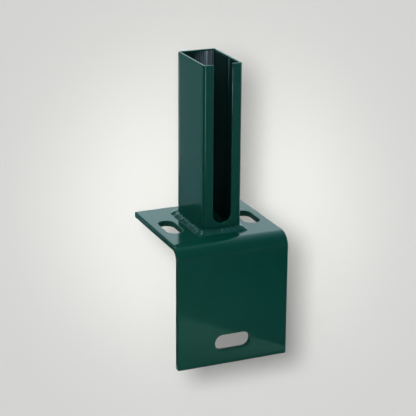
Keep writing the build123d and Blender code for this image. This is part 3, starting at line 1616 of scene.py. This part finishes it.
    def soft_lamp(self) -> bpy.types.Object:
        """Hangs a square soft lamp above, which faces the object and lights nothing else.

        Returns:
            The lamp.
        """
        data = bpy.data.lights.new("soft_lamp_above", "AREA")
        data.size = self.soft_lamp_size_mm * MM
        data.energy = self.soft_lamp_watts
        lamp = new_object("soft_lamp_above", data)
        lamp.location = Vector(self.soft_lamp_mm) * MM
        lamp.rotation_euler = lamp.location.to_track_quat("Z", "Y").to_euler()
        lamp.visible_glossy = False
        lamp.light_linking.receiver_collection = self.only(*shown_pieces())
        return lamp

    def only(self, *things: bpy.types.Object) -> bpy.types.Collection:
        """Gathers a few things, for what a lamp lights or what stops its light.

        Args:
            *things: The things.

        Returns:
            A collection of them.
        """
        made = bpy.data.collections.new("only_" + things[0].name)
        for thing in things:
            made.objects.link(thing)
        return made

    def stand_in(self, boxes: list[tuple[np.ndarray, np.ndarray]]) -> bpy.types.Object:
        """Hangs a small stand-in for the object before the lens, which only the shadow lamps meet.

        It has a box for each of the object's main parts. Each corner is brought towards the lens to a
        fixed share of its distance, so that it covers the object as the lens sees it, and then shifted
        right and down. Its shadow is then as soft and as far off along the whole object.

        Args:
            boxes: The lowest and highest corner of each box, in millimetres.

        Returns:
            The stand-in.
        """
        right, up, _ = self.view.axes()
        lens = np.array(self.view.station()) / MM
        across, down = self.shadow_px
        shift = (np.array(right) * across - np.array(up) * down) / self.view.focal_px
        corners = np.array([[x, y, z] for z in (0, 1) for y in (0, 1) for x in (0, 1)])
        level = [(0, 2, 3, 1), (4, 5, 7, 6)]
        upright = [(0, 1, 5, 4), (2, 6, 7, 3), (0, 4, 6, 2), (1, 3, 7, 5)]
        sides = np.array(level + upright)
        points = np.concatenate([low + corners * (high - low) for low, high in boxes])
        away = points - lens
        near = lens + self.stand_in_share * (away + np.linalg.norm(away, axis=-1, keepdims=True) * shift)
        faces = np.concatenate([sides + len(corners) * k for k in range(len(boxes))])
        mesh = bpy.data.meshes.new("shadow_stand_in")
        mesh.from_pydata((near * MM).tolist(), [], faces.tolist())
        stand_in = new_object("shadow_stand_in", mesh)
        stand_in.visible_camera = False
        stand_in.visible_diffuse = False
        stand_in.visible_glossy = False
        stand_in.visible_transmission = False
        stand_in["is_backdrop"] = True
        return stand_in

    def floor_lamp(
        self, name: str, radius_mm: float, watts: float, floor: bpy.types.Object, stand_in: bpy.types.Object
    ) -> bpy.types.Object:
        """Sets a small lamp at the lens, which lights the floor alone and throws the object's shadow there.

        Its light keeps its strength over distance, so that the floor behind the object is as light as
        the floor before it.

        Args:
            name: Its name.
            radius_mm: Its radius, which gives the shadow its softness.
            watts: Its power.
            floor: The only thing that it lights.
            stand_in: The only thing that stops its light.

        Returns:
            The lamp.
        """
        data = bpy.data.lights.new(name, "POINT")
        data.shadow_soft_size = radius_mm * MM
        data.energy = watts
        data.use_nodes = True
        tree = data.node_tree
        tree.nodes.clear()
        steady = add_node(tree, "ShaderNodeLightFalloff", {"Strength": 1.0})
        glow = add_node(tree, "ShaderNodeEmission", {"Strength": steady.outputs["Constant"]})
        add_node(tree, "ShaderNodeOutputLight", {"Surface": glow.outputs[0]})
        lamp = new_object(name, data)
        lamp.location = self.view.station()
        lamp.visible_glossy = False
        lamp.light_linking.receiver_collection = self.only(floor)
        lamp.light_linking.blocker_collection = self.only(stand_in)
        return lamp

    def lamps(self, floor: bpy.types.Object, stand_in: bpy.types.Object) -> list[bpy.types.Object]:
        """Hangs the soft lamp, and a small and a wide lamp at the lens whose shadows of the object add up.

        Args:
            floor: What the two lamps at the lens light.
            stand_in: What stops their light.

        Returns:
            The three lamps.
        """
        near, wide = self.shadow_lamp_mm
        near_watts, wide_watts = self.shadow_lamp_watts
        return [
            self.soft_lamp(),
            self.floor_lamp("shadow_lamp", near, near_watts, floor, stand_in),
            self.floor_lamp("wide_shadow_lamp", wide, wide_watts, floor, stand_in),
        ]

    def cards(self) -> list[bpy.types.Object]:
        """Stands up the cards that the coat mirrors.

        Dim ones stand on the left and lie on the floor in front, with a pale patch before the plate. A
        bright one hangs overhead for the welds and slot edges, and another stands on the left for the
        tube's corner.

        Returns:
            The cards.
        """
        z = self.floor_z + 1
        made = [
            Card("low_card_left", (-96, 250, z), (0, 0, 160), (-500, 0, 0), 0.34, 0.37, "#B5F4FF"),
            Card("high_card_left", (-40, 250, z + 160), (0, 0, 300), (-556, 0, 0), 0.14, 0.16, "#C2DEFF"),
            Card("side_card_left", (-46, 400, z), (-2000, 0, 0), (0, -1020, 0), 0.10, 0.10, "#C4FFFF"),
            Card(
                "near_card_front",
                (-46, -47, z),
                (172, 0, 0),
                (0, -233, 0),
                0.50,
                0.19,
                "#9EFFE2",
                "#6FE6FF",
            ),
            Card("near_card_right", (126, -47, z), (600, 0, 0), (0, -233, 0), 0.19, 0.19, "#6FE6FF"),
            Card(
                "far_card_front",
                (-46, -280, z),
                (0, -340, 0),
                (772, 0, 0),
                0.22,
                0.42,
                "#9EF0FF",
                "#A0E0FF",
            ),
            Card(
                "farthest_card_front", (-2046, -620, z), (6000, 0, 0), (0, -9000, 0), 0.42, 0.42, "#A0E0FF"
            ),
            Card(
                "pale_patch_front",
                (51, -48, z + 1),
                (-120, 0, 0),
                (-156, -237, 0),
                0.90,
                0.42,
                "#B1FFEF",
                "#9CFFE6",
            ),
            Card("overhead_card", (-60, -90, 720), (-220, 305, 0), (190, 134, 0), 4.8, 4.8, "#C4FAFF"),
            Card("corner_card", (-191, -304, z + 36), (0, 0, 104), (98, -42, 0), 2.0, 6.0, "#BFFFF9"),
        ]
        return [card.place() for card in made]


def main() -> None:
    """Builds the pieces, the camera and the studio, in that order, and reports each."""
    logging.basicConfig(level=logging.INFO, format="%(name)s: %(message)s")
    coat = MossPowderCoat()
    coat_material = coat.material()
    plate = AnglePlate.from_frame()
    tube = PostTube.from_frame()
    pieces = [
        plate.build(coat_material),
        tube.build(CoatOverZinc(coat).material()),
        WeldRing(tube).build(coat_material),
    ]
    for piece in pieces:
        log.info("%s: %d faces", piece.name, len(piece.data.polygons))
    view = Viewpoint()
    camera = view.place()
    log.info("%s: lens %.1f mm", camera.name, camera.data.lens)
    studio = Studio(view, plate.bottom_z)
    floor = studio.floor()
    studio.room()
    stand_in = studio.stand_in(plate.boxes() + [tube.box()])
    for thing in [floor, *studio.lamps(floor, stand_in), *studio.cards()]:
        log.info("%s is in place", thing.name)
    bpy.context.scene.view_settings.view_transform = "Standard"


if __name__ == "__main__":
    main()
